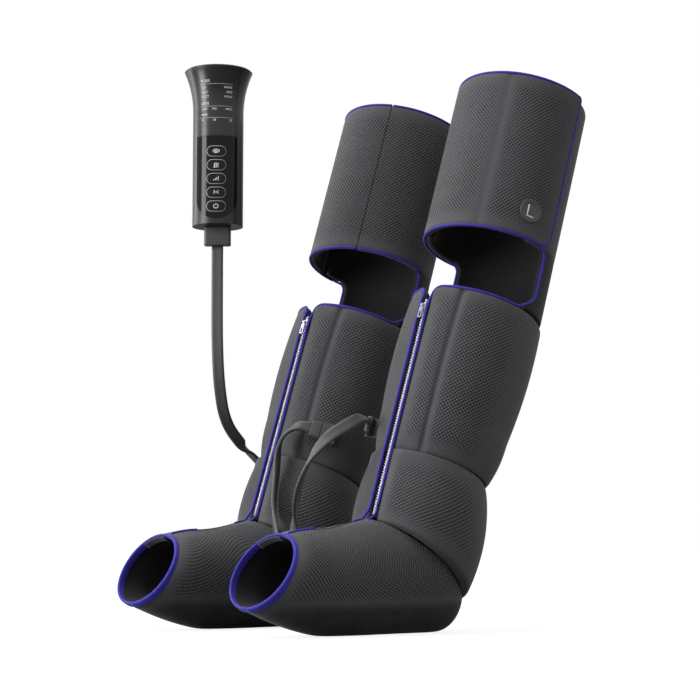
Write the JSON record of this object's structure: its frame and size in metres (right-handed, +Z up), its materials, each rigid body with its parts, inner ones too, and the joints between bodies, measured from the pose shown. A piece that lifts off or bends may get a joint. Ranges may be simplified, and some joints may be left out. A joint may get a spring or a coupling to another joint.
{
  "type": "compression therapy pump",
  "caption": "Pair of padded air-compression leg sleeves with zip fronts and wrap-over thigh flaps, fed by flat hoses from a round hand-held pump with pill-shaped keys.",
  "frame": {"origin": "on the floor, under the middle of the outline of both sleeves and the pump, hoses and plugs left out", "axes": "+X to the wearer's left, toes towards -Y, +Z up; the soles stand on Z = 0"},
  "size_m": [0.4244, 0.5337, 0.7162],
  "materials": {
    "mesh_fabric": "matt sandwich mesh, charcoal black",
    "smooth_fabric": "smooth black lining cloth",
    "blue_piping": "violet-blue woven piping",
    "bladder_film": "flexible coated film",
    "heater_film": "flexible heating film",
    "hook_tape": "hook tape",
    "zip_metal": "bright metal",
    "badge_plastic": "dark grey, raised rim",
    "plug_rubber": "satin dark grey",
    "hose_rubber": "satin dark grey",
    "port_plastic": "matt black",
    "housing_plastic": "matt black",
    "label_plastic": "satin dark grey",
    "gloss_panel": "gloss black",
    "key_plastic": "gloss black with pale outline",
    "mat_rubber": "grey silicone",
    "board_green": "circuit board",
    "inner_plastic": "pale moulded plastic",
    "motor_steel": "plated steel",
    "pump_alloy": "die cast"
  },
  "bodies": {
    "sleeves": {"foot_shell_left": "mesh_fabric", "air_bladders_left": "bladder_film", "lower_piping_left": "blue_piping", "ankle_wrap_left": "mesh_fabric", "calf_wrap_left": "mesh_fabric", "knee_panel_left": "smooth_fabric", "hose_plug_left": "plug_rubber", "foot_shell_right": "mesh_fabric", "air_bladders_right": "bladder_film", "lower_piping_right": "blue_piping", "ankle_wrap_right": "mesh_fabric", "calf_wrap_right": "mesh_fabric", "knee_panel_right": "smooth_fabric", "hose_plug_right": "plug_rubber", "zip_chains": "zip_metal", "hose_ports": "port_plastic", "splitter": "plug_rubber", "trunk_hose": "hose_rubber", "branch_hose_left": "hose_rubber", "branch_hose_right": "hose_rubber", "pump_plug": "plug_rubber"},
    "thigh_left": {"thigh_cuff_left": "mesh_fabric", "heat_pad_left": "heater_film", "hook_patch_left": "hook_tape", "thigh_piping_left": "blue_piping"},
    "flap_left": {"thigh_flap_left": "mesh_fabric", "thigh_bladder_left": "bladder_film", "flap_piping_left": "blue_piping", "badge_left": "badge_plastic"},
    "slider_left": {"zip_slider_left": "zip_metal"},
    "pull_left": {"zip_pull_left": "zip_metal"},
    "thigh_right": {"thigh_cuff_right": "mesh_fabric", "heat_pad_right": "heater_film", "hook_patch_right": "hook_tape", "thigh_piping_right": "blue_piping"},
    "flap_right": {"thigh_flap_right": "mesh_fabric", "thigh_bladder_right": "bladder_film", "flap_piping_right": "blue_piping", "badge_right": "badge_plastic"},
    "slider_right": {"zip_slider_right": "zip_metal"},
    "pull_right": {"zip_pull_right": "zip_metal"},
    "pump": {"front_housing": "housing_plastic", "rear_housing": "housing_plastic", "top_cap": "housing_plastic", "label_panel": "label_plastic", "button_bezel": "gloss_panel", "switch_mat": "mat_rubber", "circuit_board": "board_green", "carrier": "inner_plastic", "pump_motor": "motor_steel", "pump_head": "pump_alloy", "manifold": "inner_plastic", "valves": "inner_plastic", "power_inlet": "inner_plastic", "housing_screws": "motor_steel"},
    "key_1": {"key_1": "key_plastic"},
    "key_2": {"key_2": "key_plastic"},
    "key_3": {"key_3": "key_plastic"},
    "key_4": {"key_4": "key_plastic"},
    "key_5": {"key_5": "key_plastic"}
  },
  "joints": [
    {"name": "knee_fold_left", "type": "hinge", "parent": "sleeves", "child": "thigh_left", "pos_m": [0.1165, 0.18988, 0.40869], "axis": [-1, 0, 0], "range_deg": [0, 90]},
    {"name": "flap_open_left", "type": "hinge", "parent": "thigh_left", "child": "flap_left", "pos_m": [0.06585, 0.0878, 0.59815], "axis": [0, -0.3007, -0.9537], "range_deg": [0, 60]},
    {"name": "zip_slide_left", "type": "slide", "parent": "sleeves", "child": "slider_left", "axis": [0, -0.3123, -0.95], "range_m": [0, 0.225]},
    {"name": "zip_pull_swing_left", "type": "hinge", "parent": "slider_left", "child": "pull_left", "pos_m": [0.1165, 0.00705, 0.39883], "axis": [-1, 0, 0], "range_deg": [0, 150]},
    {"name": "knee_fold_right", "type": "hinge", "parent": "sleeves", "child": "thigh_right", "pos_m": [-0.1165, 0.18988, 0.40869], "axis": [-1, 0, 0], "range_deg": [0, 90]},
    {"name": "flap_open_right", "type": "hinge", "parent": "thigh_right", "child": "flap_right", "pos_m": [-0.06585, 0.0878, 0.59815], "axis": [0, 0.3007, 0.9537], "range_deg": [0, 60]},
    {"name": "zip_slide_right", "type": "slide", "parent": "sleeves", "child": "slider_right", "axis": [0, -0.3123, -0.95], "range_m": [0, 0.225]},
    {"name": "zip_pull_swing_right", "type": "hinge", "parent": "slider_right", "child": "pull_right", "pos_m": [-0.1165, 0.00705, 0.39883], "axis": [-1, 0, 0], "range_deg": [0, 150]},
    {"name": "pump_unplug", "type": "slide", "parent": "sleeves", "child": "pump", "axis": [0, 0, 1], "range_m": [0, 0.016]},
    {"name": "key_press_1", "type": "slide", "parent": "pump", "child": "key_1", "axis": [-0.766, 0.6428, 0], "range_m": [0, 0.0008], "stiffness_N_per_m": 400},
    {"name": "key_press_2", "type": "slide", "parent": "pump", "child": "key_2", "axis": [-0.766, 0.6428, 0], "range_m": [0, 0.0008], "stiffness_N_per_m": 400},
    {"name": "key_press_3", "type": "slide", "parent": "pump", "child": "key_3", "axis": [-0.766, 0.6428, 0], "range_m": [0, 0.0008], "stiffness_N_per_m": 400},
    {"name": "key_press_4", "type": "slide", "parent": "pump", "child": "key_4", "axis": [-0.766, 0.6428, 0], "range_m": [0, 0.0008], "stiffness_N_per_m": 400},
    {"name": "key_press_5", "type": "slide", "parent": "pump", "child": "key_5", "axis": [-0.766, 0.6428, 0], "range_m": [0, 0.0008], "stiffness_N_per_m": 400}
  ]
}
